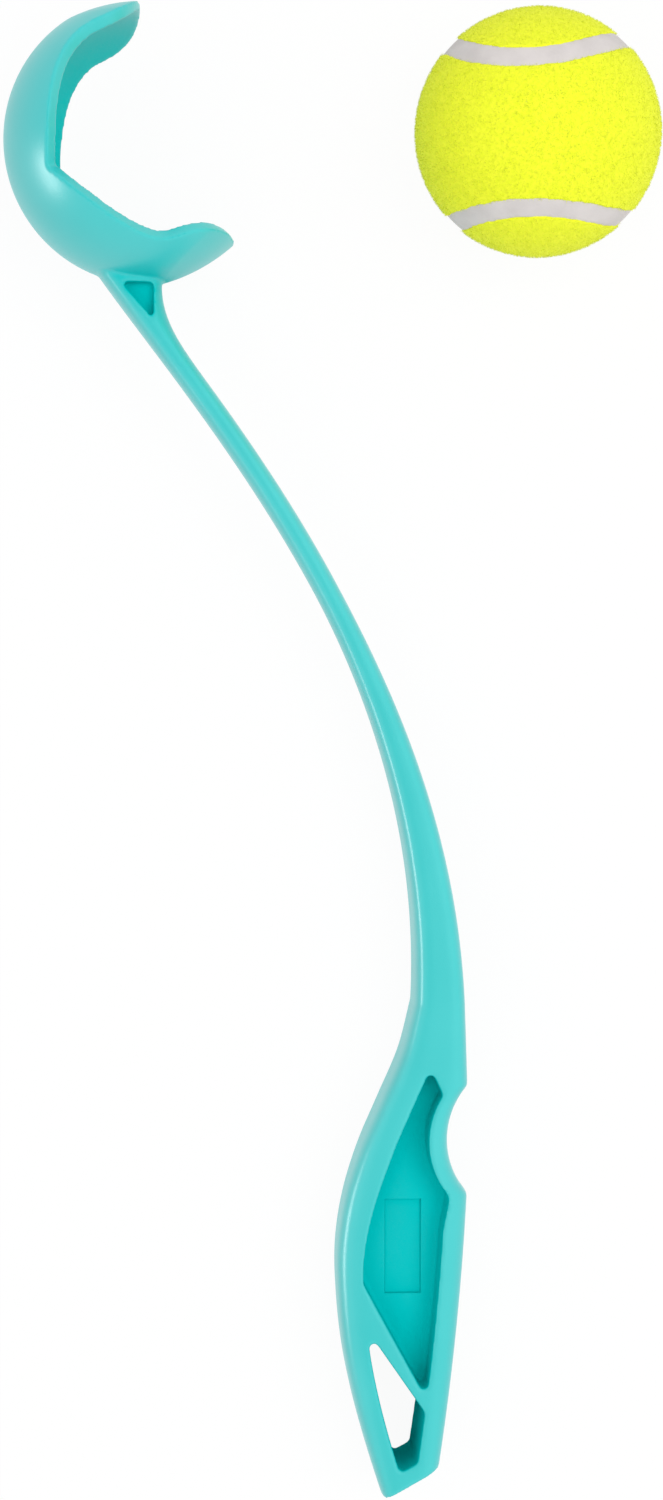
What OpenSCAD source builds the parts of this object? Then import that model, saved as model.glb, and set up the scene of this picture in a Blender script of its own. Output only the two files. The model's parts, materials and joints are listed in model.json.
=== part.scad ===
// A throwing stick for a dog's ball, lying on its side with its ball beside the cup.
// The moulding is drawn in a frame of its own: the cup's centre is the origin, the stick
// runs towards -Y and the mould parts at Z = 0. It is then laid on the ground, Z = 0,
// on three points: the rim of the cup, the bump above the finger notch and the tail.

/* [Ball] */
// Outside diameter of the felt ball
ball_d = 63.5; // [55:0.5:75]
// Thickness of the felt
felt_t = 2.8; // [1.5:0.1:4]
// Wall of the hollow rubber core
rubber_t = 3.4; // [2:0.1:6]
// Width of the rubber seam between the felt panels
seam_w = 4.8; // [3:0.1:8]
// Depth of the seam below the face of the felt
seam_dip = 0.5; // [0.1:0.1:1.5]
// Glue line between the rubber core and its cover
glue_line = 0.15; // [0.1:0.05:0.4]
// Clearance on each side of the seam
seam_clearance = 0.05; // [0.02:0.01:0.2]
// How far the ball lies from the cup, centre to centre, across the stick
ball_apart = 102; // [90:1:200]
// How far the ball lies ahead of the cup's centre, along the stick
ball_ahead = 0; // [-20:1:20]

/* [Cup] */
// Clearance between the ball and the cup
ball_clearance = 1.5; // [0.3:0.1:3]
// Wall of the cup
cup_wall = 3.4; // [2:0.1:6]
// How much thinner the wall is at the claw's tip
claw_taper = 1.75; // [0:0.05:1.8]

/* [Neck] */
// Lean of the shaft where it leaves the cup, in degrees
neck_lean = 35; // [25:1:45]
// Where the shaft's centreline leaves the cup, across the stick
neck_offset = -7; // [-12:0.5:2]
// Depth of the neck, along the mould's draw
neck_t = 17; // [12:0.5:26]
// How far the neck flares under the claw
neck_flare = 13.5; // [8:0.5:16]
// Depth of the triangular core-out on each side of the neck
neck_core_depth = 5; // [1:0.5:6]
// Width of that core-out
neck_core_w = 7.2; // [4:0.5:9]
// Length of that core-out
neck_core_len = 8.3; // [4:0.5:12]

/* [Shaft] */
// From the cup's centre to the top of the grip, along the stick
shaft_run = 224; // [180:1:300]
// From the cup's centre to the top of the grip, across the stick
shaft_sweep = 77; // [60:1:95]
// Width of the slim part of the shaft
shaft_w = 6.2; // [5:0.1:10]
// Depth of the slim part of the shaft, along the mould's draw
shaft_t = 14; // [9:0.5:20]
// Width of the shaft where the grip begins
throat_w = 13.3; // [10:0.1:18]

/* [Grip] */
// Length of the grip, from the throat to the tail
grip_len = 129; // [115:1:160]
// Depth of the grip, along the mould's draw
grip_t = 25; // [20:0.5:34]
// How far the palm side swells out
palm_swell = 20; // [15:0.5:26]
// From the top of the grip to the finger notch
notch_top = 21.3; // [14:0.1:28]
// Length of the finger notch
notch_len = 28.4; // [22:0.1:36]
// Depth of the finger notch
notch_depth = 5.3; // [2:0.1:7]
// How far the finger side draws in towards the tail
tail_taper = 8.5; // [2:0.5:12]
// How far the finger side bows out below the notch
finger_bow = 1.2; // [0:0.1:3]
// Slope of the tail's end, in degrees
tail_slope = 29; // [10:1:40]

/* [Core-outs of the grip] */
// Wall on the palm side, at the top of the pocket
palm_wall_top = 8.4; // [6:0.1:10]
// Wall on the palm side, further down
palm_wall = 6.5; // [5:0.1:9]
// Wall behind the finger notch
notch_wall = 5.4; // [4:0.1:7]
// Wall on the finger side, below the notch
finger_wall = 6.5; // [5:0.1:8]
// Web between the two pockets
web_t = 4; // [3:0.5:8]
// From the top of the grip to the tip of the pocket
pocket_tip = 16.4; // [12:0.1:24]
// Length of the slant at the pocket's tip
pocket_slant = 7; // [3:0.5:9]
// Wall between the hang hole and the tail, on the palm side
tail_wall = 7.3; // [6:0.1:14]
// Length of the hang hole on the palm side
hole_palm_len = 37.4; // [28:0.1:42]
// Length of the hang hole on the finger side
hole_finger_len = 13.3; // [8:0.1:18]
// Rib between the pocket and the hang hole, on the palm side
rib_palm = 11.8; // [8:0.1:18]
// Rib between the pocket and the hang hole, on the finger side
rib_finger = 3.5; // [1.5:0.1:8]
// Corner radius of the core-outs
core_r = 1.2; // [0.5:0.1:1.8]
// Width of the recessed panel on the pocket's floor
panel_w = 9.8; // [6:0.1:11]
// Length of that panel
panel_len = 24.7; // [12:0.1:27]
// Depth of that panel
panel_dip = 0.6; // [0.2:0.1:1]

/* [Hidden] */
$fn = 96;

ball_r = ball_d / 2;
core_outer_r = ball_r - felt_t - glue_line;
cup_inner_r = ball_r + ball_clearance;
cup_outer_r = cup_inner_r + cup_wall;
stick_run = shaft_run + grip_len;
past = 1;

// The origin is under the middle of the launcher and its ball
cup_at = [cup_outer_r - (cup_outer_r + ball_apart + ball_r) / 2, (stick_run - cup_outer_r) / 2];
ball_at = [cup_at.x + ball_apart, cup_at.y + ball_ahead, ball_r];

// Curves

function mix(a, b, t) = a + (b - a) * t;
function clamp01(t) = min(1, max(0, t));
function ease(t) = let (u = clamp01(t)) u * u * (3 - 2 * u);
function bezier(p, t) =
    pow(1 - t, 3) * p[0] + 3 * t * pow(1 - t, 2) * p[1] + 3 * t * t * (1 - t) * p[2] + pow(t, 3) * p[3];
function bezier_slope(p, t) =
    3 * pow(1 - t, 2) * (p[1] - p[0]) + 6 * t * (1 - t) * (p[2] - p[1]) + 3 * t * t * (p[3] - p[2]);
function unit(v) = v / norm(v);
function left_of(v) = [-v.y, v.x];

// A smooth curve through points [x, y], read at x
function slope_at(p, i) =
    let (a = max(0, i - 1), b = min(len(p) - 1, i + 1)) (p[b].y - p[a].y) / (p[b].x - p[a].x);
function span_of(p, x, i = 0) = i >= len(p) - 2 || x < p[i + 1].x ? i : span_of(p, x, i + 1);
function through(p, x) =
    let (i = span_of(p, x), w = p[i + 1].x - p[i].x, t = (x - p[i].x) / w)
    let (a = p[i].y + slope_at(p, i) * w / 3, b = p[i + 1].y - slope_at(p, i + 1) * w / 3)
    bezier([p[i].y, a, b, p[i + 1].y], t);

// The cup, whose rim is drawn in side view in units of its outer radius

rim_corner = [-0.635, -0.255];
upper_rim = [rim_corner, [-0.59, 0.22], [-0.59, 0.68], [-0.10, 0.785]];
upper_tip = [-0.02, 1.05];
lower_rim = [rim_corner, [-0.40, -0.45], [-0.12, -0.725], [0.14, -0.72]];
claw_rim = [[0.14, -0.72], [0.27, -0.72], [0.36, -0.615], [0.53, -0.64]];
claw_tip = [0.66, -0.78];
past_cup = 1.3;
rim_steps = 14;
function rim_run(p) = [for (i = [0:rim_steps]) bezier(p, i / rim_steps) * cup_outer_r];
function backwards(p) = [for (i = [len(p) - 1:-1:0]) p[i]];
rim_side = concat(backwards(rim_run(upper_rim)), rim_run(lower_rim), rim_run(claw_rim));

module cup_side() {
    far = past_cup * cup_outer_r;
    corners = [[claw_tip.x * cup_outer_r, -far], [-far, -far], [-far, far],
        [upper_tip.x * cup_outer_r, far]];
    polygon(concat([upper_tip * cup_outer_r], rim_side, [claw_tip * cup_outer_r], corners));
}

// The outside of the claw thins towards its tip along a larger sphere set back from it
taper_reach = 30;
taper_more = claw_taper * cos(taper_reach) / (1 - cos(taper_reach));
taper_back = unit(claw_tip) * -(taper_more + claw_taper);

module cup_shell() {
    intersection() {
        sphere(cup_outer_r);
        translate([taper_back.x, taper_back.y, 0]) sphere(cup_outer_r + taper_more);
        linear_extrude(2 * cup_outer_r + 2 * past, center = true) cup_side();
    }
}

// The stick, a loft whose sections run from a soft oval at the neck to a squarer grip

neck_root = 8;
neck_pull = 45;
throat_pull = 90;
shaft_dir = [sin(neck_lean), -cos(neck_lean)];
shaft_start = [neck_offset, -cup_outer_r] - neck_root * shaft_dir;
shaft_end = [shaft_sweep, -shaft_run];
shaft_path = [shaft_start, shaft_start + neck_pull * shaft_dir, shaft_end + [0, throat_pull], shaft_end];
neck_reach = 25;
flare_reach = 32;
flare_power = 4.4;
slim_to = 0.55;
swell_power = 1.5;

// Stations are [centre, across, half width to the left, half width to the right, half depth, squareness]
soft_section = 3;
square_section = 4.5;
shaft_steps = 26;
deep_from = 110;
deep_to = shaft_run + notch_top;
function depth_at(drop) =
    mix(mix(neck_t, shaft_t, ease((drop - cup_outer_r) / neck_reach)), grip_t,
        ease((drop - deep_from) / (deep_to - deep_from))) / 2;
function squareness_at(drop) =
    mix(soft_section, square_section, ease((drop - deep_from) / (deep_to - deep_from)));
function flare_at(drop) = neck_flare * pow(max(0, 1 - (drop - cup_outer_r) / flare_reach), flare_power);
function half_width_at(t) =
    mix(shaft_w, throat_w, pow(clamp01((t - slim_to) / (1 - slim_to)), swell_power)) / 2;
function shaft_station(t) =
    let (c = bezier(shaft_path, t), along = unit(bezier_slope(shaft_path, t)), w = half_width_at(t))
    [c, left_of(along), w, w + flare_at(-c.y), depth_at(-c.y), squareness_at(-c.y)];

// The palm side, as shares of the grip's length and of the palm's swell
palm_shape = [[0, 0], [0.1, 0.165], [0.2, 0.44], [0.3, 0.715], [0.4, 0.91], [0.5, 1], [0.6, 0.985],
    [0.7, 0.915], [0.8, 0.785], [0.9, 0.61], [1, 0.405], [1.1, 0.19]];
bump_rise = 0.75;
notch_r = (notch_len * notch_len / 4 + notch_depth * notch_depth) / (2 * notch_depth);
notch_end = notch_top + notch_len;
function palm_edge(g) = -throat_w / 2 - palm_swell * through(palm_shape, g / grip_len);
function finger_line(g) =
    let (t = max(0, g - notch_end) / (grip_len - notch_end))
    throat_w / 2 + bump_rise * clamp01(g / notch_top) - tail_taper * t + 4 * finger_bow * t * max(0, 1 - t);
function notch_dip(g) =
    let (d = g - (notch_top + notch_end) / 2)
    max(0, sqrt(max(0, notch_r * notch_r - d * d)) - (notch_r - notch_depth));
function finger_edge(g) = finger_line(g) - notch_dip(g);
function grip_point(g, x) = shaft_end + [x, -g];
function grip_station(g) =
    let (p = palm_edge(g), f = finger_edge(g), half = (f - p) / 2)
    [grip_point(g, (p + f) / 2), [1, 0], half, half, depth_at(shaft_run + g), squareness_at(shaft_run + g)];

tail_past = 4;
top_steps = 7;
notch_steps = 12;
tail_steps = 16;
grip_stops = concat([for (i = [1:top_steps]) mix(0, notch_top, i / top_steps)],
    [for (i = [1:notch_steps]) mix(notch_top, notch_end, i / notch_steps)],
    [for (i = [1:tail_steps]) mix(notch_end, grip_len + tail_past, i / tail_steps)]);
stations = concat([for (i = [0:shaft_steps]) shaft_station(i / shaft_steps)],
    [for (g = grip_stops) grip_station(g)]);

ring_sides = 24;
function signed_power(v, e) = sign(v) * pow(abs(v), e);
function ring_point(s, k) =
    let (a = 360 * k / ring_sides, e = 2 / s[5], x = signed_power(cos(a), e), z = signed_power(sin(a), e),
        at = s[0] + s[1] * (x > 0 ? x * s[3] : x * s[2]))
    [at.x, at.y, z * s[4]];
function ring(s) = [for (k = [0:ring_sides - 1]) ring_point(s, k)];
function flatten(lists) = [for (l = lists) for (v = l) v];

module stick_loft() {
    last = (len(stations) - 1) * ring_sides;
    walls = [for (i = [0:len(stations) - 2]) for (k = [0:ring_sides - 1])
        let (a = i * ring_sides + k, b = i * ring_sides + (k + 1) % ring_sides)
        each [[a, a + ring_sides, b + ring_sides], [a, b + ring_sides, b]]];
    caps = [for (k = [1:ring_sides - 2]) each [[0, k, k + 1], [last, last + k + 1, last + k]]];
    polyhedron(flatten([for (s = stations) ring(s)]), concat(walls, caps));
}

// Outlines of the core-outs, drawn between the palm wall and the finger wall

hole_palm_to = grip_len - tail_wall;
hole_palm_from = hole_palm_to - hole_palm_len;
hole_end_slant = 2.4;
hole_finger_to = hole_palm_to - hole_end_slant;
hole_finger_from = hole_finger_to - hole_finger_len;
pocket_palm_to = hole_palm_from - rib_palm;
pocket_finger_to = hole_finger_from - rib_finger;
outline_steps = 14;
palm_wall_to = 38;
notch_wall_to = 10;
function palm_wall_at(g) =
    mix(palm_wall_top, palm_wall, ease((g - palm_wall_to) / (pocket_palm_to - palm_wall_to)));
function finger_wall_at(g) = mix(notch_wall, finger_wall, ease((g - notch_end) / notch_wall_to));
// The panel's middle, as shares of the way down the pocket and across the grip
panel_down = 0.64;
panel_across = 0.48;
panel_at = grip_point(mix(notch_end, pocket_palm_to, panel_down),
    mix(palm_edge(notch_end), finger_edge(notch_end), panel_across));
neck_core_in = 9.1;
neck_core_drop = 0.5;
neck_core_r = 0.9;

module rounded(r) {
    offset(r = r, $fn = 32) offset(delta = -r) children();
}

module between_walls(palm_from, palm_to, finger_from, finger_to) {
    rounded(core_r)
    polygon(concat(
        [for (i = [0:outline_steps]) let (g = mix(palm_from, palm_to, i / outline_steps))
            grip_point(g, palm_edge(g) + palm_wall_at(g))],
        [for (i = [outline_steps:-1:0]) let (g = mix(finger_from, finger_to, i / outline_steps))
            grip_point(g, finger_edge(g) - finger_wall_at(g))]));
}

module both_sides() {
    children();
    mirror([0, 0, 1]) children();
}

module grip_pockets() {
    both_sides() {
        translate([0, 0, web_t / 2])
        linear_extrude(grip_t)
        between_walls(pocket_tip, pocket_palm_to, pocket_tip + pocket_slant, pocket_finger_to);
        translate([panel_at.x, panel_at.y, web_t / 2])
        cube([panel_w, panel_len, 2 * panel_dip], center = true);
    }
}

module hang_hole() {
    linear_extrude(2 * grip_t, center = true)
    between_walls(hole_palm_from, hole_palm_to, hole_finger_from, hole_finger_to);
}

module neck_cores() {
    both_sides()
    translate([neck_offset + neck_core_in, -cup_outer_r - neck_core_drop, neck_t / 2 - neck_core_depth])
    linear_extrude(neck_t)
    rounded(neck_core_r)
    polygon([[0, 0], [-neck_core_w, 0], [0, -neck_core_len]]);
}

module tail_cut() {
    tip = grip_point(grip_len, palm_edge(grip_len));
    translate([tip.x, tip.y, 0])
    rotate(tail_slope)
    translate([0, -grip_len, 0])
    cube([4 * grip_len, 2 * grip_len, 2 * grip_t], center = true);
}

// The rest on the ground: the plane under the rim, the bump and the tail

rim_low = [for (p = rim_side)
    [p.x, p.y, -sqrt(max(0, cup_outer_r * cup_outer_r - p.x * p.x - p.y * p.y))]];
bump_rests = [0.8, 1];
tail_rests = [0.94, 0.97];
bump_low = flatten([for (share = bump_rests) ring(grip_station(share * notch_top))]);
tail_low = flatten([for (share = tail_rests) ring(grip_station(share * grip_len))]);
function lowest(points, up) =
    let (heights = [for (p = points) p * up], least = min(heights))
    points[search(least, heights)[0]];
function plane_up(a, b, c) = let (n = unit(cross(b - a, c - a))) n.z > 0 ? n : -n;
function next_up(up) = plane_up(lowest(rim_low, up), lowest(bump_low, up), lowest(tail_low, up));
function settled(up, tries) = tries == 0 ? up : settled(next_up(up), tries - 1);
settling_tries = 4;
ground_up = settled([0, 0, 1], settling_tries);
ground_drop = -lowest(rim_low, ground_up) * ground_up;

module laid_down() {
    translate([cup_at.x, cup_at.y, ground_drop])
    rotate(acos(ground_up.z), cross(ground_up, [0, 0, 1]))
    children();
}

// The seam, a closed wave on the ball that parts two equal panels

seam_a = 0.7965;
seam_b = 1 - seam_a;
seam_c = 2 * sqrt(seam_a * seam_b);
seam_points = 72;
cone_reach = 2 * ball_r;
// The panel's waist faces up, its ends point along X
function seam_dir(u) =
    let (t = u + 135, x = seam_a * cos(t) + seam_b * cos(3 * t), y = seam_a * sin(t) - seam_b * sin(3 * t))
    unit([(x - y) / sqrt(2), (x + y) / sqrt(2), seam_c * sin(2 * t)]);
function seam_side(u) = unit(cross(seam_dir(u), seam_dir(u + 1) - seam_dir(u - 1)));
function panel_edge(u, inset) =
    let (turn = inset / ball_r * 180 / PI) seam_dir(u) * cos(turn) + seam_side(u) * sin(turn);

// A cone from the ball's centre out through one panel, its edge set in from the seam
module panel_cone(inset) {
    half = seam_points / 2;
    points = concat([[0, 0, 0]],
        [for (i = [0:seam_points - 1]) panel_edge(360 * i / seam_points, inset) * cone_reach]);
    walls = [for (i = [0:seam_points - 1]) [0, 1 + i, 1 + (i + 1) % seam_points]];
    caps = [for (i = [0:half - 1])
        let (a = i, b = i + 1, c = (seam_points - b) % seam_points, d = (seam_points - a) % seam_points)
        each concat(b == c ? [] : [[1 + a, 1 + c, 1 + b]], a == d ? [] : [[1 + a, 1 + d, 1 + c]])];
    polyhedron(points, concat(walls, caps));
}

module other_panel() {
    rotate(180, [1, 1, 0]) children();
}

// The poles of its faces lie on Y, inside the other panel
module cover_shell(outer_r) {
    rotate([90, 0, 0])
    difference() {
        sphere(outer_r);
        sphere(core_outer_r + glue_line);
    }
}

module felt_panel() {
    intersection() {
        cover_shell(ball_r);
        panel_cone(seam_w / 2 + seam_clearance);
    }
}

module rubber_half() {
    rotate_extrude()
    difference() {
        circle(core_outer_r);
        circle(core_outer_r - rubber_t);
        translate([-2 * ball_r, -ball_r]) square(2 * ball_r);
        translate([-ball_r, -2 * ball_r]) square(2 * ball_r);
    }
}

// How the ball happens to lie: one panel's waist looks up and a little along the stick
ball_lean = [11, -5, 0];
module ball_place() {
    translate(ball_at) rotate(ball_lean) children();
}

module launcher() {
    color("#4ccfce")
    laid_down()
    difference() {
        union() {
            cup_shell();
            stick_loft();
        }
        sphere(cup_inner_r);
        grip_pockets();
        hang_hole();
        neck_cores();
        tail_cut();
    }
}

module rubber_half_a() {
    color("#7d8078") ball_place() rubber_half();
}

module rubber_half_b() {
    color("#6f726b") ball_place() mirror([0, 0, 1]) rubber_half();
}

module felt_panel_a() {
    color("#e4ea36") ball_place() felt_panel();
}

module felt_panel_b() {
    color("#e4ea36") ball_place() other_panel() felt_panel();
}

module seam() {
    color("#d4d3c9")
    ball_place()
    difference() {
        intersection() {
            cover_shell(ball_r - seam_dip);
            panel_cone(-seam_w / 2);
        }
        panel_cone(seam_w / 2);
    }
}

launcher();
rubber_half_a();
rubber_half_b();
felt_panel_a();
felt_panel_b();
seam();
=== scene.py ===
"""A one-piece ball launcher in turquoise plastic, lying on its side with its felt ball beside the cup.

The moulding is drawn in millimetres in a frame of its own: the cup's centre is the origin, the stick runs
towards -Y and the mould parts at Z = 0. It is then laid on the ground as the solid is.
"""

import json
import math

import bmesh
import bpy
import numpy as np
from mathutils import Matrix, Vector


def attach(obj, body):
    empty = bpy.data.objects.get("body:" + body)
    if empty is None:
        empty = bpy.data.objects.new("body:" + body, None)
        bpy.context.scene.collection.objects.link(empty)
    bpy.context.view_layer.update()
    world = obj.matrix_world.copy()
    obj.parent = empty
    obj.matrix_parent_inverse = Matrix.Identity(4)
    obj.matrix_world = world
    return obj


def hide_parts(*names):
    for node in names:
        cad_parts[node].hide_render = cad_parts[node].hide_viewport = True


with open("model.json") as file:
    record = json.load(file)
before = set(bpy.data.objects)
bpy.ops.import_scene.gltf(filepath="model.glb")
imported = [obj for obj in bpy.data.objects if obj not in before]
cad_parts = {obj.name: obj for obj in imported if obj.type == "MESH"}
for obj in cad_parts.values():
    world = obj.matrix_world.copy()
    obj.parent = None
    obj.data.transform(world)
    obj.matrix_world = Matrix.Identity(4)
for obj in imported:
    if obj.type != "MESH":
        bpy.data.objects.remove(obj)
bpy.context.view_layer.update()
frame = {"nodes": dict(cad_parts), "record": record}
scene = bpy.context.scene
MM = 0.001

# Sizes in millimetres, most of them the same as in the part's source
BALL_R = 31.75
FELT_T = 2.8
SEAM_W = 5.5
CUP_IN = 33.25
CUP_OUT = 36.65
CLAW_TAPER = 1.75
UPPER_TAPER = 1.2
NECK_LEAN = math.radians(35)
NECK_OFFSET = -7.0
NECK_T = 17.0
NECK_FLARE = 13.5
SHAFT_RUN = 224.0
SHAFT_SWEEP = 77.0
SHAFT_W = 6.2
SHAFT_T = 14.0
THROAT_W = 13.3
GRIP_LEN = 129.0
GRIP_T = 25.0
PALM_SWELL = 20.0
NOTCH_TOP = 21.3
NOTCH_LEN = 28.4
NOTCH_DEPTH = 5.3
NOTCH_END = NOTCH_TOP + NOTCH_LEN
TAIL_TAPER = 8.5
FINGER_BOW = 1.2
TAIL_SLOPE = math.radians(29)
WEB_T = 4.0
CORE_R = 1.2

# How the moulding rests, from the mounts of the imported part, and how the ball lies
mounts = {m["name"]: m for m in frame["record"]["mounts"]}
CUP_AT = Vector(mounts["ball_seat"]["pos_m"])
TILT = Vector((0, 0, 1)).rotation_difference(Vector(mounts["hang_hole"]["axis"]))
LAID_DOWN = Matrix.Translation(CUP_AT) @ TILT.to_matrix().to_4x4() @ Matrix.Scale(MM, 4)
BALL_AT = Vector((53.45, 158.175, BALL_R))
BALL_LEAN_X = math.radians(11)
BALL_LEAN_Y = math.radians(-5)
BALL_TURN = Matrix.Rotation(BALL_LEAN_Y, 4, "Y") @ Matrix.Rotation(BALL_LEAN_X, 4, "X")
BALL_PLACE = Matrix.Translation(BALL_AT * MM) @ BALL_TURN @ Matrix.Scale(MM, 4)


# Curves

def mix(a, b, t):
    return a + (b - a) * t


def clamp01(t):
    return min(1.0, max(0.0, t))


def ease(t):
    u = clamp01(t)
    return u * u * (3 - 2 * u)


def bezier(p, t):
    a, b, c, d = (np.asarray(v, float) for v in p)
    return (1 - t) ** 3 * a + 3 * t * (1 - t) ** 2 * b + 3 * t * t * (1 - t) * c + t ** 3 * d


def bezier_slope(p, t):
    a, b, c, d = (np.asarray(v, float) for v in p)
    return 3 * (1 - t) ** 2 * (b - a) + 6 * t * (1 - t) * (c - b) + 3 * t * t * (d - c)


def through(p, x):
    """A smooth curve through points (x, y), read at x."""
    i = 0
    while i < len(p) - 2 and x >= p[i + 1][0]:
        i += 1

    def slope(k):
        a, b = max(0, k - 1), min(len(p) - 1, k + 1)
        return (p[b][1] - p[a][1]) / (p[b][0] - p[a][0])

    w = p[i + 1][0] - p[i][0]
    t = (x - p[i][0]) / w
    a, d = p[i][1], p[i + 1][1]
    return float(bezier((a, a + slope(i) * w / 3, d - slope(i + 1) * w / 3, d), t))


# Mesh tools

def new_object(name, points, faces):
    mesh = bpy.data.meshes.new(name)
    mesh.from_pydata([tuple(p) for p in points], [], [tuple(f) for f in faces])
    mesh.validate()
    bm = bmesh.new()
    bm.from_mesh(mesh)
    bmesh.ops.recalc_face_normals(bm, faces=bm.faces)
    bm.to_mesh(mesh)
    bm.free()
    obj = bpy.data.objects.new(name, mesh)
    scene.collection.objects.link(obj)
    return obj


def sphere_object(name, radius, at=(0, 0, 0), level=6):
    bm = bmesh.new()
    bmesh.ops.create_icosphere(bm, subdivisions=level, radius=radius, matrix=Matrix.Translation(at))
    mesh = bpy.data.meshes.new(name)
    bm.to_mesh(mesh)
    bm.free()
    obj = bpy.data.objects.new(name, mesh)
    scene.collection.objects.link(obj)
    return obj


def loft_faces(rings, n):
    """Both ends of a closed loft, then the faces between its rings of n points."""
    last = (rings - 1) * n
    faces = [tuple(range(n)), tuple(range(last, last + n))]
    for low in range(0, last, n):
        high = low + n
        for i in range(n):
            j = (i + 1) % n
            faces.append((low + i, low + j, high + j, high + i))
    return faces


def prism(name, outline, low, high):
    points = [(x, y, low) for x, y in outline] + [(x, y, high) for x, y in outline]
    return new_object(name, points, loft_faces(2, len(outline)))


def bake(obj):
    """Replaces an object's mesh by its evaluated one and drops the modifiers."""
    dg = bpy.context.evaluated_depsgraph_get()
    mesh = bpy.data.meshes.new_from_object(obj.evaluated_get(dg))
    obj.modifiers.clear()
    obj.data = mesh


def cut(obj, other, how):
    m = obj.modifiers.new("cut", "BOOLEAN")
    m.operation = how
    m.solver = "MANIFOLD"
    m.object = other
    bake(obj)
    bpy.data.objects.remove(other)


def soften(obj, voxel, rounds, share=1.0):
    """Rebuilds the surface finely, and rounds its edges as a mould's fillets do."""
    m = obj.modifiers.new("fine", "REMESH")
    m.mode = "VOXEL"
    m.voxel_size = voxel
    bake(obj)
    m = obj.modifiers.new("round", "SMOOTH")
    m.factor = 0.5
    m.iterations = rounds
    bake(obj)
    if share < 1:
        m = obj.modifiers.new("thin", "DECIMATE")
        m.ratio = share
        bake(obj)


def smooth_shaded(obj):
    obj.data.polygons.foreach_set("use_smooth", np.ones(len(obj.data.polygons), bool))
    obj.data.update()


# The cup, cut by a cone from its centre. The rim is drawn in side view, on a sphere of radius 1

def on_circle(degrees):
    return math.cos(math.radians(degrees)), math.sin(math.radians(degrees))


UPPER_TIP = on_circle(92.3)
CLAW_TIP = on_circle(-48.2)
RIM_KNEE = (-0.335, 0.737)
RIM_CORNER = (-0.675, -0.30)
RIM_DIP = (0.12, -0.777)
UPPER_END = (RIM_KNEE, (-0.20, 0.80), (-0.085, 0.875), UPPER_TIP)
UPPER_RIM = (RIM_CORNER, (-0.675, 0.10), (-0.67, 0.58), RIM_KNEE)
LOWER_RIM = (RIM_CORNER, (-0.40, -0.54), (-0.08, -0.777), RIM_DIP)
CLAW_END = (RIM_DIP, (0.24, -0.777), (0.425, -0.625), CLAW_TIP)
RIM_STEPS = 60
RIM_CONE_REACH = 2.5
TAPER_SPAN = math.radians(30)
CUP_LEVEL = 7


def rim_run(p, crowd):
    """Points along one stretch of the rim, closer together towards its end if crowd is set."""
    t = np.arange(1, RIM_STEPS + 1) / RIM_STEPS
    return [bezier(p, v) for v in (np.sin(math.pi / 2 * t) if crowd else t)]


def rim_cone():
    side = rim_run(UPPER_END, True)[::-1] + rim_run(UPPER_RIM, False)[::-1] + [np.array(RIM_CORNER)]
    side = np.array(side + rim_run(LOWER_RIM, False) + rim_run(CLAW_END, True))
    rise = np.sqrt(np.maximum(0, 1 - (side ** 2).sum(1)))
    reach = RIM_CONE_REACH * CUP_OUT
    n = len(side)
    near = np.column_stack((side, rise)) * reach
    far = np.column_stack((side, -rise)) * reach

    def other(i):
        return 1 + i if i in (0, n - 1) else n + i

    faces = []
    for i in range(n - 1):
        faces += [(0, 2 + i, 1 + i), (0, other(i), other(i + 1))]
        if i < n - 2:
            faces.append((1 + i, 2 + i, other(i + 1)))
        if i > 0:
            faces.append((1 + i, other(i + 1), other(i)))
    return new_object("cone", np.vstack(([(0, 0, 0)], near, far[1:-1])), faces)


def make_cup():
    """The cup before its inside is taken out, thinned from outside towards both tips."""
    cup = sphere_object("launcher_moulding", CUP_OUT, level=CUP_LEVEL)
    reach = math.cos(TAPER_SPAN)
    for tip, thinned in ((CLAW_TIP, CLAW_TAPER), (UPPER_TIP, UPPER_TAPER)):
        more = thinned * reach / (1 - reach)
        back = -(more + thinned)
        at = (tip[0] * back, tip[1] * back, 0)
        cut(cup, sphere_object("taper", CUP_OUT + more, at, level=CUP_LEVEL), "INTERSECT")
    cut(cup, rim_cone(), "INTERSECT")
    return cup


# The stick, a loft from a soft oval at the neck to a squarer grip. The two pulls set how straight its path
# leaves the neck and meets the grip, and it widens to the throat over the last share of the path

NECK_ROOT = 8.0
NECK_PULL = 45
GRIP_PULL = 90
NECK_BLEND = 25
FLARE_LEN = 32
FLARE_POWER = 4.4
THROAT_FROM = 0.55
THROAT_SHARE = 0.45
THROAT_POWER = 1.5
SHAFT_SQUARE = 2.4
GRIP_SQUARE = 4.5
SHAFT_DIR = np.array((math.sin(NECK_LEAN), -math.cos(NECK_LEAN)))
SHAFT_START = np.array((NECK_OFFSET, -CUP_OUT)) - NECK_ROOT * SHAFT_DIR
SHAFT_END = np.array((SHAFT_SWEEP, -SHAFT_RUN))
SHAFT_PATH = (SHAFT_START, SHAFT_START + NECK_PULL * SHAFT_DIR, SHAFT_END + (0, GRIP_PULL), SHAFT_END)
DEEP_FROM = 110.0
DEEP_TO = SHAFT_RUN + NOTCH_TOP
PALM_SHAPE = ((0, 0), (0.1, 0.165), (0.2, 0.44), (0.3, 0.715), (0.4, 0.91), (0.5, 1), (0.6, 0.985),
              (0.7, 0.915), (0.8, 0.785), (0.9, 0.61), (1, 0.405), (1.1, 0.19))
FINGER_STEP = 0.75
NOTCH_R = (NOTCH_LEN ** 2 / 4 + NOTCH_DEPTH ** 2) / (2 * NOTCH_DEPTH)
SHAFT_STEPS = 150
GRIP_STEPS = 190
GRIP_SPARE = 4
RING = 112


def towards_grip(drop):
    return ease((drop - DEEP_FROM) / (DEEP_TO - DEEP_FROM))


def half_depth(drop):
    neck = mix(NECK_T, SHAFT_T, ease((drop - CUP_OUT) / NECK_BLEND))
    return mix(neck, GRIP_T, towards_grip(drop)) / 2


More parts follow.
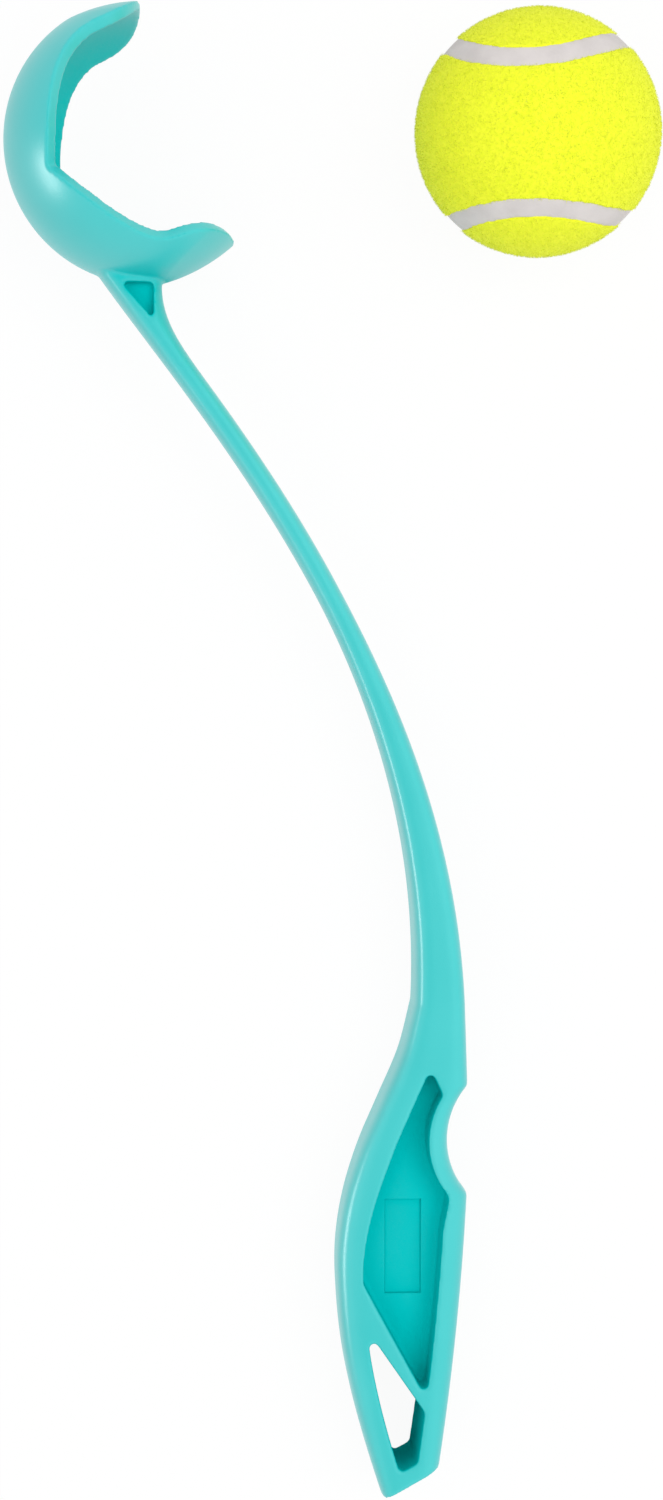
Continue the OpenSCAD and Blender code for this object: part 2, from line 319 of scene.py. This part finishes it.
def squareness(drop):
    return mix(SHAFT_SQUARE, GRIP_SQUARE, towards_grip(drop))


def flare(drop):
    return NECK_FLARE * max(0.0, 1 - (drop - CUP_OUT) / FLARE_LEN) ** FLARE_POWER


def shaft_station(t):
    c = bezier(SHAFT_PATH, t)
    along = bezier_slope(SHAFT_PATH, t)
    along = along / np.linalg.norm(along)
    w = mix(SHAFT_W, THROAT_W, clamp01((t - THROAT_FROM) / THROAT_SHARE) ** THROAT_POWER) / 2
    return c, np.array((-along[1], along[0])), w, w + flare(-c[1]), -c[1]


def palm_edge(g):
    return -THROAT_W / 2 - PALM_SWELL * through(PALM_SHAPE, g / GRIP_LEN)


def finger_edge(g):
    t = max(0.0, g - NOTCH_END) / (GRIP_LEN - NOTCH_END)
    line = THROAT_W / 2 + FINGER_STEP * clamp01(g / NOTCH_TOP)
    line = line - TAIL_TAPER * t + 4 * FINGER_BOW * t * max(0.0, 1 - t)
    d = g - (NOTCH_TOP + NOTCH_END) / 2
    return line - max(0.0, math.sqrt(max(0.0, NOTCH_R ** 2 - d * d)) - (NOTCH_R - NOTCH_DEPTH))


def grip_point(g, x):
    return SHAFT_END + (x, -g)


def grip_station(g):
    p, f = palm_edge(g), finger_edge(g)
    return grip_point(g, (p + f) / 2), np.array((1.0, 0.0)), (f - p) / 2, (f - p) / 2, SHAFT_RUN + g


def make_stick():
    """The loft. It runs on a little past the tail, which is cut off afterwards."""
    stations = [shaft_station(i / SHAFT_STEPS) for i in range(SHAFT_STEPS + 1)]
    stations += [grip_station(g) for g in np.linspace(0, GRIP_LEN + GRIP_SPARE, GRIP_STEPS)[1:]]
    a = 2 * math.pi * np.arange(RING) / RING
    rings = []
    for c, across, left, right, drop in stations:
        e = 2 / squareness(drop)
        x = np.sign(np.cos(a)) * np.abs(np.cos(a)) ** e
        z = np.sign(np.sin(a)) * np.abs(np.sin(a)) ** e * half_depth(drop)
        side = np.where(x > 0, x * right, x * left)
        rings.append(np.column_stack((c[0] + across[0] * side, c[1] + across[1] * side, z)))
    return new_object("stick", np.vstack(rings), loft_faces(len(rings), RING))


# Core-outs of the grip, between the palm wall and the finger wall, and of the neck. Places along the grip
# count from its top. The panel's and the neck core-out's sizes are width, length and depth

HOLE_PALM_TO = GRIP_LEN - 7.3
HOLE_PALM_FROM = HOLE_PALM_TO - 37.4
HOLE_FINGER_TO = HOLE_PALM_TO - 2.4
HOLE_FINGER_FROM = HOLE_FINGER_TO - 13.3
POCKET_PALM_FROM = 16.4
POCKET_PALM_TO = HOLE_PALM_FROM - 11.8
POCKET_FINGER_FROM = 23.4
POCKET_FINGER_TO = HOLE_FINGER_FROM - 3.5
CORE_WALL = 6.5
PALM_WALL_TOP = 8.4
PALM_WALL_TOP_TO = 38
FINGER_WALL_TOP = 5.4
FINGER_WALL_BLEND = 10
WALL_STEPS = 60
END_STEPS = 40
FILLET_HALVINGS = 40
FILLET_STEPS = 12
PANEL = (9.6, 24.9, 1.2)
PANEL_SLOPE = 0.2
PANEL_ALONG = 0.64
PANEL_ACROSS = 0.48
JUST_ABOVE = 0.02
WELL_ABOVE = 2.0
NECK_CORE = (8.4, 9.6, 5.0)
NECK_CORE_RIGHT = 9.1
NECK_CORE_BELOW = 0.5
TAIL_REACH = 60
TAIL_DROP = 40
SHARP_ANGLE = math.radians(60)


def palm_wall(g):
    thinning = ease((g - PALM_WALL_TOP_TO) / (POCKET_PALM_TO - PALM_WALL_TOP_TO))
    return palm_edge(g) + mix(PALM_WALL_TOP, CORE_WALL, thinning)


def finger_wall(g):
    return finger_edge(g) - mix(FINGER_WALL_TOP, CORE_WALL, ease((g - NOTCH_END) / FINGER_WALL_BLEND))


def distance_to(line, p):
    """Distance from p to a polyline, and the nearest point on it."""
    a, b = line[:-1], line[1:]
    t = np.clip(((p - a) * (b - a)).sum(1) / ((b - a) ** 2).sum(1), 0, 1)
    near = a + (b - a) * t[:, None]
    d = np.linalg.norm(near - p, axis=1)
    return d.min(), near[d.argmin()]


def fillet(before, after, r):
    """Joins two runs of points that meet at a corner by an arc of radius r. The inside lies to their left."""
    corner = before[-1]
    back = before[::-1]
    walked = np.concatenate(([0], np.cumsum(np.linalg.norm(np.diff(back, axis=0), axis=1))))

    def centre(s):
        i = min(np.searchsorted(walked, s, side="right") - 1, len(back) - 2)
        d = (back[i] - back[i + 1]) / np.linalg.norm(back[i] - back[i + 1])
        p = back[i] - d * (s - walked[i])
        return p, p + r * np.array((-d[1], d[0]))

    low, high = 0.0, walked[-1]
    for _ in range(FILLET_HALVINGS):
        mid = (low + high) / 2
        if distance_to(after, centre(mid)[1])[0] < r:
            low = mid
        else:
            high = mid
    start, c = centre(high)
    end = distance_to(after, c)[1]
    a0 = math.atan2(*(start - c)[::-1])
    a1 = math.atan2(*(end - c)[::-1])
    turn = (a1 - a0) % (2 * math.pi)
    angles = [a0 + turn * k / FILLET_STEPS for k in range(FILLET_STEPS + 1)]
    arc = [c + r * np.array((math.cos(a), math.sin(a))) for a in angles]
    kept_before = [p for p, w in zip(back, walked) if w > high][::-1]
    passed = np.linalg.norm(end - corner)
    kept_after = [p for p in after if np.linalg.norm(p - corner) > passed]
    return kept_before + arc, kept_after


def between_walls(palm_from, palm_to, finger_from, finger_to):
    """The outline of a core-out with its four corners rounded, anticlockwise from above."""
    palm = np.array([grip_point(g, palm_wall(g)) for g in np.linspace(palm_from, palm_to, WALL_STEPS)])
    up_finger = np.linspace(finger_to, finger_from, WALL_STEPS)
    finger = np.array([grip_point(g, finger_wall(g)) for g in up_finger])
    low = np.linspace(palm[-1], finger[0], END_STEPS)
    top = np.linspace(finger[-1], palm[0], END_STEPS)
    sides = [palm, low, finger, top]
    for i in range(4):
        first, second = fillet(np.array(sides[i]), np.array(sides[(i + 1) % 4]), CORE_R)
        sides[i], sides[(i + 1) % 4] = first, second
    return [p for side in sides for p in side]


def sunk_panel(middle, floor, side):
    """A rectangle with sloping walls, to be cut out of the pocket's floor."""
    width, length, dip = PANEL
    points = []
    for rise, grow in ((-dip, -PANEL_SLOPE), (JUST_ABOVE, 0.0), (WELL_ABOVE, 0.0)):
        for sx, sy in ((-1, -1), (1, -1), (1, 1), (-1, 1)):
            x, y = middle + (sx * (width / 2 + grow), sy * (length / 2 + grow))
            points.append((x, y, floor + side * rise))
    return new_object("panel", points, loft_faces(3, 4))


def make_launcher():
    body = make_cup()
    cut(body, make_stick(), "UNION")
    cut(body, sphere_object("inside", CUP_IN, level=CUP_LEVEL), "DIFFERENCE")
    hole = between_walls(HOLE_PALM_FROM, HOLE_PALM_TO, HOLE_FINGER_FROM, HOLE_FINGER_TO)
    cut(body, prism("hole", hole, -GRIP_T, GRIP_T), "DIFFERENCE")
    pocket = between_walls(POCKET_PALM_FROM, POCKET_PALM_TO, POCKET_FINGER_FROM, POCKET_FINGER_TO)
    corner = np.array((NECK_OFFSET + NECK_CORE_RIGHT, -CUP_OUT - NECK_CORE_BELOW))
    core_w, core_l, core_d = NECK_CORE
    triangle = [corner, corner - (core_w, 0), corner - (0, core_l)]
    for side in (1, -1):
        pocket_ends = sorted((side * WEB_T / 2, side * GRIP_T))
        cut(body, prism("pocket", pocket, *pocket_ends), "DIFFERENCE")
        core_ends = sorted((side * (NECK_T / 2 - core_d), side * NECK_T))
        cut(body, prism("triangle", triangle, *core_ends), "DIFFERENCE")
    tip = grip_point(GRIP_LEN, palm_edge(GRIP_LEN))
    slope = np.array((math.cos(TAIL_SLOPE), math.sin(TAIL_SLOPE)))
    along = TAIL_REACH * slope
    down = TAIL_DROP * np.array((slope[1], -slope[0]))
    tail = [tip - along, tip - along + down, tip + along + down, tip + along]
    cut(body, prism("tail", tail, -GRIP_T, GRIP_T), "DIFFERENCE")
    soften(body, voxel=0.5, rounds=5, share=0.4)
    across = mix(palm_edge(NOTCH_END), finger_edge(NOTCH_END), PANEL_ACROSS)
    middle = grip_point(mix(NOTCH_END, POCKET_PALM_TO, PANEL_ALONG), across)
    for side in (1, -1):
        cut(body, sunk_panel(middle, side * WEB_T / 2, side), "DIFFERENCE")
    body.data.transform(LAID_DOWN)
    smooth_shaded(body)
    body.data.set_sharp_from_angle(angle=SHARP_ANGLE)
    return body


# The ball: a closed wave on it parts two equal felt panels

SEAM_A = 0.7965
SEAM_B = 1 - SEAM_A
SEAM_C = 2 * math.sqrt(SEAM_A * SEAM_B)
SEAM_PHASE = 135


def seam_dir(u):
    t = np.radians(np.asarray(u, float) + SEAM_PHASE)
    x = SEAM_A * np.cos(t) + SEAM_B * np.cos(3 * t)
    y = SEAM_A * np.sin(t) - SEAM_B * np.sin(3 * t)
    p = np.stack(((x - y) / math.sqrt(2), (x + y) / math.sqrt(2), SEAM_C * np.sin(2 * t)), -1)
    return p / np.linalg.norm(p, axis=-1, keepdims=True)


def seam_side(u):
    side = np.cross(seam_dir(u), seam_dir(u + 1) - seam_dir(u - 1))
    return side / np.linalg.norm(side, axis=-1, keepdims=True)


SEAM_U = np.arange(0, 360, 0.5)
SEAM_LINE = seam_dir(SEAM_U)
SEAM_IN = seam_side(SEAM_U)
BLOCK = 4000
SEAM_DIP = 0.7
SEAM_UNDER_FELT = 0.45
FELT_CLEAR = 0.05
FELT_RAGGED = 0.35
EDGE_WAVES = range(9, 100)
CONE_STEPS = 720
CONE_REACH = 3
OTHER_PANEL = Matrix.Rotation(math.pi, 4, Vector((1, 1, 0)))


def seam_distance(p):
    """How far points on the ball lie inside the first panel, from the seam's middle, in millimetres."""
    out = np.empty(len(p))
    for i in range(0, len(p), BLOCK):
        block = p[i:i + BLOCK]
        near = (block @ SEAM_LINE.T).argmax(1)
        out[i:i + BLOCK] = BALL_R * np.arcsin(np.clip((block * SEAM_IN[near]).sum(1), -1, 1))
    return out


def panel_cone(name, inset, ragged=0.0, seed=0):
    """A cone from the ball's centre round one panel. Its edge may wander a little, as cut felt does."""
    n = CONE_STEPS
    u = np.arange(n) * 360 / n
    rng = np.random.default_rng(seed)
    wander = np.zeros(n)
    for k in EDGE_WAVES:
        wander += np.sin(np.radians(k * u) + rng.uniform(0, 2 * math.pi)) * rng.uniform(0, 1) / math.sqrt(k)
    turn = (inset + ragged * wander / np.abs(wander).max()) / BALL_R
    edge = seam_dir(u) * np.cos(turn)[:, None] + seam_side(u) * np.sin(turn)[:, None]
    points = np.vstack(([[0, 0, 0]], edge * CONE_REACH * BALL_R))
    faces = [(0, 1 + i, 1 + (i + 1) % n) for i in range(n)]
    for a in range(n // 2):
        b = a + 1
        c, d = (n - b) % n, (n - a) % n
        if b != c:
            faces.append((1 + a, 1 + c, 1 + b))
        if a != d:
            faces.append((1 + a, 1 + d, 1 + c))
    return new_object(name, points, faces)


# The felt's nap. Each fibre is rooted in the felt, bends at a knee and ends in a tip
NAP = 0.45
NAP_COUNT = 16000
NAP_ROOT = 0.08
NAP_INSET = 0.1
NAP_RISE = (0.5, 1.0)
NAP_REACH = (0.3, 0.9)
NAP_THICK = (0.035, 0.06)
KNEE_RISE = 0.75
KNEE_REACH = 0.45
KNEE_THICK = 0.8
TIP_BEND = 0.35


def shell(name, outer):
    ball = sphere_object(name, outer)
    cut(ball, sphere_object("core", BALL_R - FELT_T), "DIFFERENCE")
    return ball


def make_panel(name, other, seed):
    panel = shell(name, BALL_R - NAP)
    cut(panel, panel_cone("cone", SEAM_W / 2 + FELT_CLEAR, FELT_RAGGED, seed), "INTERSECT")
    soften(panel, voxel=0.4, rounds=4)
    if other:
        panel.data.transform(OTHER_PANEL)
    panel.data.transform(BALL_PLACE)
    smooth_shaded(panel)
    return panel


def make_seam():
    seam = shell("ball_seam", BALL_R - SEAM_DIP)
    cut(seam, panel_cone("wide", -SEAM_W / 2 - SEAM_UNDER_FELT), "INTERSECT")
    cut(seam, panel_cone("narrow", SEAM_W / 2 + SEAM_UNDER_FELT), "DIFFERENCE")
    soften(seam, voxel=0.5, rounds=3)
    seam.data.transform(BALL_PLACE)
    smooth_shaded(seam)
    return seam


def make_nap(name, other, seed):
    """Short bent fibres that stand out of one felt panel, each a closed sliver."""
    rng = np.random.default_rng(seed)
    p = rng.normal(size=(NAP_COUNT * 3, 3))
    p /= np.linalg.norm(p, axis=1, keepdims=True)
    p = p[seam_distance(p) > SEAM_W / 2 + NAP_INSET][:NAP_COUNT]
    n = len(p)
    lean = np.cross(p, rng.normal(size=(n, 3)))
    lean /= np.linalg.norm(lean, axis=1, keepdims=True)
    side = np.cross(p, lean)
    bend = np.cross(p, rng.normal(size=(n, 3)))
    bend /= np.linalg.norm(bend, axis=1, keepdims=True)
    rise = rng.uniform(*NAP_RISE, (n, 1)) * NAP
    reach = rng.uniform(*NAP_REACH, (n, 1))
    thick = rng.uniform(*NAP_THICK, (n, 1))
    root = p * (BALL_R - NAP - NAP_ROOT)
    knee = root + p * (NAP_ROOT + KNEE_RISE * rise) + lean * reach * KNEE_REACH
    tip = root + p * (NAP_ROOT + rise) + lean * reach + bend * reach * TIP_BEND
    points = []
    for at, share in ((root, 1.0), (knee, KNEE_THICK)):
        for k in range(3):
            a = 2 * math.pi * k / 3
            points.append(at + (lean * math.cos(a) + side * math.sin(a)) * thick * share)
    points.append(tip)
    per_fibre = len(points)
    points = np.stack(points, 1).reshape(-1, 3)
    pattern = [(0, 2, 1)]
    for k in range(3):
        j = (k + 1) % 3
        pattern += [(k, j, 3 + j), (k, 3 + j, 3 + k), (3 + k, 3 + j, 6)]
    faces = (np.array(pattern)[None] + per_fibre * np.arange(n)[:, None, None]).reshape(-1, 3)
    mesh = bpy.data.meshes.new(name)
    mesh.vertices.add(len(points))
    mesh.vertices.foreach_set("co", points.ravel())
    mesh.loops.add(faces.size)
    mesh.loops.foreach_set("vertex_index", faces.ravel())
    mesh.polygons.add(len(faces))
    mesh.polygons.foreach_set("loop_start", np.arange(0, faces.size, 3))
    mesh.update(calc_edges=True)
    obj = bpy.data.objects.new(name, mesh)
    scene.collection.objects.link(obj)
    if other:
        mesh.transform(OTHER_PANEL)
    mesh.transform(BALL_PLACE)
    smooth_shaded(obj)
    return obj


# Materials

UNIT = (0.0, 1.0)
# Reach, samples and occlusion span of the plastic's painted shade in its hollows
PAINTED_SHADE_REACH = 0.05
PAINTED_SHADE_SAMPLES = 8
PAINTED_SHADE_SPAN = (0.7, 0.95)


def srgb(code):
    c = [int(code[i:i + 2], 16) / 255 for i in (0, 2, 4)]
    return [v / 12.92 if v <= 0.04045 else ((v + 0.055) / 1.055) ** 2.4 for v in c] + [1.0]


def new_material(name):
    m = bpy.data.materials.new(name)
    m.use_nodes = True
    nodes = m.node_tree.nodes
    return m, nodes, m.node_tree.links, nodes["Principled BSDF"]


def noise(nodes, links, coords, scale, detail):
    n = nodes.new("ShaderNodeTexNoise")
    n.inputs["Scale"].default_value = scale
    n.inputs["Detail"].default_value = detail
    links.new(coords.outputs["Object"], n.inputs["Vector"])
    return n.outputs["Fac"]


def ramp(nodes, links, source, stops):
    r = nodes.new("ShaderNodeValToRGB")
    for e, (at, colour) in zip(r.color_ramp.elements, stops):
        e.position = at
        e.color = colour
    links.new(source, r.inputs["Fac"])
    return r.outputs["Color"]


def bump(nodes, links, height, shader, strength, distance):
    b = nodes.new("ShaderNodeBump")
    b.inputs["Strength"].default_value = strength
    b.inputs["Distance"].default_value = distance
    links.new(height, b.inputs["Height"])
    links.new(b.outputs["Normal"], shader.inputs["Normal"])


def carry_over(nodes, links, source, span, to):
    """Carries a value from one span over to another."""
    m = nodes.new("ShaderNodeMapRange")
    m.inputs["From Min"].default_value = span[0]
    m.inputs["From Max"].default_value = span[1]
    m.inputs["To Min"].default_value = to[0]
    m.inputs["To Max"].default_value = to[1]
    links.new(source, m.inputs["Value"])
    return m.outputs["Result"]


def plastic():
    """Satin moulded plastic: faint clouding and a fine grain, with painted shade in its hollows, where an
    ambient-occlusion mask deepens the colour and weakens the specular.
    """
    m, nodes, links, s = new_material("launcher_plastic")
    coords = nodes.new("ShaderNodeTexCoord")
    cloud = noise(nodes, links, coords, scale=28, detail=3)
    tint = ramp(nodes, links, cloud, ((0.3, srgb("2ec3c3")), (0.7, srgb("3ac8c8"))))
    # Painted shade: an ambient-occlusion mask mixes a deeper, darker teal into the hollows
    painted_shade_ao = nodes.new("ShaderNodeAmbientOcclusion")
    painted_shade_ao.only_local = True
    painted_shade_ao.samples = PAINTED_SHADE_SAMPLES
    painted_shade_ao.inputs["Distance"].default_value = PAINTED_SHADE_REACH
    unshaded_share = carry_over(nodes, links, painted_shade_ao.outputs["AO"], PAINTED_SHADE_SPAN, UNIT)
    both = nodes.new("ShaderNodeMixRGB")
    both.inputs["Color1"].default_value = srgb("00c4c4")
    links.new(unshaded_share, both.inputs["Fac"])
    links.new(tint, both.inputs["Color2"])
    links.new(both.outputs["Color"], s.inputs["Base Color"])
    # Painted shade in reflections too: the specular fades to nothing in the hollows
    specular = carry_over(nodes, links, unshaded_share, UNIT, (0.0, 0.8))
    links.new(specular, s.inputs["Specular IOR Level"])
    smear = noise(nodes, links, coords, scale=70, detail=4)
    roughness = carry_over(nodes, links, smear, UNIT, (0.3, 0.36))
    links.new(roughness, s.inputs["Roughness"])
    grain = noise(nodes, links, coords, scale=2600, detail=2)
    bump(nodes, links, grain, s, strength=0.12, distance=0.0002)
    return m


def felt(name, light, dark):
    """Needled felt: matted clumps, fine fibre grain and a soft sheen."""
    m, nodes, links, s = new_material(name)
    coords = nodes.new("ShaderNodeTexCoord")
    clump = noise(nodes, links, coords, scale=900, detail=5)
    tint = ramp(nodes, links, clump, ((0.25, srgb(dark)), (0.7, srgb(light))))
    links.new(tint, s.inputs["Base Color"])
    s.inputs["Roughness"].default_value = 0.95
    s.inputs["Specular IOR Level"].default_value = 0.15
    s.inputs["Sheen Weight"].default_value = 0.25
    s.inputs["Sheen Roughness"].default_value = 0.6
    s.inputs["Sheen Tint"].default_value = srgb("f4ff90")
    fibre = noise(nodes, links, coords, scale=2400, detail=4)
    bump(nodes, links, fibre, s, strength=0.4, distance=0.0004)
    return m


def rubber(name, light, dark):
    m, nodes, links, s = new_material(name)
    coords = nodes.new("ShaderNodeTexCoord")
    cloud = noise(nodes, links, coords, scale=160, detail=4)
    tint = ramp(nodes, links, cloud, ((0.3, srgb(dark)), (0.65, srgb(light))))
    links.new(tint, s.inputs["Base Color"])
    s.inputs["Roughness"].default_value = 0.75
    s.inputs["Specular IOR Level"].default_value = 0.3
    grain = noise(nodes, links, coords, scale=1500, detail=3)
    bump(nodes, links, grain, s, strength=0.25, distance=0.0002)
    return m


def dress(obj, material, slot, body, *nodes):
    obj.data.materials.clear()
    obj.data.materials.append(material)
    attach(obj, body)
    if nodes:
        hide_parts(*nodes)


dress(make_launcher(), plastic(), "launcher_plastic", "launcher", "launcher")
felt_material = felt("felt", "f6fb34", "e8f328")
nap_material = felt("felt_nap", "fafe48", "f0f938")
for letter, other, edge_seed, nap_seed in (("a", False, 12, 3), ("b", True, 11, 4)):
    panel = make_panel("ball_felt_" + letter, other, edge_seed)
    dress(panel, felt_material, "felt", "ball", "felt_panel_" + letter)
    dress(make_nap("ball_nap_" + letter, other, nap_seed), nap_material, "felt", "ball")
dress(make_seam(), rubber("seam_rubber", "d8d2d0", "cec8c6"), "seam_rubber", "ball", "seam")
core = rubber("core_rubber", "80837b", "72756d")
for name in ("rubber_half_a", "rubber_half_b"):
    frame["nodes"][name].data.materials.clear()
    frame["nodes"][name].data.materials.append(core)


# The stage: a white floor that keeps a faint shadow, a white surround and three lamps. The surround's levels
# change with the height of a direction, from 0 at the horizon to 1 overhead

FLOOR_HALF = 6
FLOOR_GREY = (0.9, 0.9, 0.9, 1)
FLOOR_ROUGH = 0.9
FLOOR_GLOW = 0.94
WHITE = (1, 1, 1, 1)
SEEN_LEVEL = 1.0
MIRROR_FADE_AT = (0.7, 0.95)
MIRROR_LEVELS = (1.0, 0.0)
LIGHT_LEVELS = (0.56, 0.84)


def either(nodes, links, first, second):
    """1 if at least one of two marks of a light path is set."""
    m = nodes.new("ShaderNodeMath")
    m.operation = "MAXIMUM"
    links.new(first, m.inputs[0])
    links.new(second, m.inputs[1])
    return m.outputs[0]


def make_floor():
    """A floor that is nearly all white glow to the eye and in reflections, and plain grey to other light."""
    bm = bmesh.new()
    bmesh.ops.create_grid(bm, x_segments=1, y_segments=1, size=FLOOR_HALF)
    mesh = bpy.data.meshes.new("floor")
    bm.to_mesh(mesh)
    bm.free()
    floor = bpy.data.objects.new("floor", mesh)
    scene.collection.objects.link(floor)
    m, nodes, links, s = new_material("floor")
    s.inputs["Base Color"].default_value = FLOOR_GREY
    s.inputs["Roughness"].default_value = FLOOR_ROUGH
    glow = nodes.new("ShaderNodeEmission")
    path = nodes.new("ShaderNodeLightPath")
    seen = either(nodes, links, path.outputs["Is Camera Ray"], path.outputs["Is Glossy Ray"])
    seen = either(nodes, links, seen, path.outputs["Is Transmission Ray"])
    share = nodes.new("ShaderNodeMath")
    share.operation = "MULTIPLY"
    share.inputs[1].default_value = FLOOR_GLOW
    links.new(seen, share.inputs[0])
    both = nodes.new("ShaderNodeMixShader")
    links.new(share.outputs[0], both.inputs["Fac"])
    links.new(s.outputs["BSDF"], both.inputs[1])
    links.new(glow.outputs["Emission"], both.inputs[2])
    links.new(both.outputs["Shader"], nodes["Material Output"].inputs["Surface"])
    mesh.materials.append(m)


def make_surround():
    """White where it is seen, dark overhead in reflections, and softer as a light."""
    world = bpy.data.worlds.new("surround")
    world.use_nodes = True
    nodes, links = world.node_tree.nodes, world.node_tree.links
    path = nodes.new("ShaderNodeLightPath")
    coords = nodes.new("ShaderNodeTexCoord")
    split = nodes.new("ShaderNodeSeparateXYZ")
    links.new(coords.outputs["Generated"], split.inputs[0])
    mirrored = carry_over(nodes, links, split.outputs["Z"], MIRROR_FADE_AT, MIRROR_LEVELS)
    diffuse = carry_over(nodes, links, split.outputs["Z"], UNIT, LIGHT_LEVELS)
    level = nodes.new("ShaderNodeMix")
    links.new(path.outputs["Is Glossy Ray"], level.inputs["Factor"])
    links.new(diffuse, level.inputs["A"])
    links.new(mirrored, level.inputs["B"])
    seen = either(nodes, links, path.outputs["Is Camera Ray"], path.outputs["Is Transmission Ray"])
    shown = nodes.new("ShaderNodeMix")
    shown.inputs["B"].default_value = SEEN_LEVEL
    links.new(seen, shown.inputs["Factor"])
    links.new(level.outputs["Result"], shown.inputs["A"])
    links.new(shown.outputs["Result"], nodes["Background"].inputs["Strength"])
    nodes["Background"].inputs["Color"].default_value = WHITE
    # Light samples of the surround don't carry the mark of a glossy ray, so it isn't sampled as a lamp
    world.cycles.sampling_method = "NONE"
    scene.world = world


def area_lamp(name, at, size, power):
    """A lamp that faces the middle of the ground."""
    lamp = bpy.data.lights.new(name, "AREA")
    lamp.shape = "RECTANGLE"
    lamp.size = size[0]
    lamp.size_y = size[1]
    lamp.energy = power
    obj = bpy.data.objects.new(name, lamp)
    obj.location = at
    obj.rotation_mode = "QUATERNION"
    obj.rotation_quaternion = (-Vector(at)).to_track_quat("-Z", "Y")
    scene.collection.objects.link(obj)
    return obj


make_floor()
make_surround()
area_lamp("key", at=(0.7, 0.1, 1.4), size=(1.0, 1.0), power=9).visible_glossy = False
area_lamp("fill", at=(-0.5, -0.3, 1.4), size=(1.0, 1.0), power=3).visible_glossy = False
area_lamp("strip", at=(-1.2, -0.22, 0.15), size=(0.5, 0.14), power=4).visible_diffuse = False

# The camera looks down, a little from the right of the stick

EYE = Vector((69.1, 7.25, 789.4)) * MM
LOOK_AT = Vector((-0.6, 0.2, 15)) * MM
UP_HINT = Vector((-0.0024, 1, 0))
IMAGE_LONG = 1500
FOCAL_PX = 2955
SENSOR = 36
camera = bpy.data.cameras.new("camera")
camera.sensor_width = SENSOR
camera.lens = SENSOR * FOCAL_PX / IMAGE_LONG
eye = bpy.data.objects.new("camera", camera)
scene.collection.objects.link(eye)
forward = (LOOK_AT - EYE).normalized()
right = forward.cross(UP_HINT).normalized()
up = right.cross(forward)
eye.matrix_world = Matrix.Translation(EYE) @ Matrix((right, up, -forward)).transposed().to_4x4()
camera.clip_start = 0.05
camera.clip_end = 50
scene.camera = eye
scene.view_settings.view_transform = "Standard"
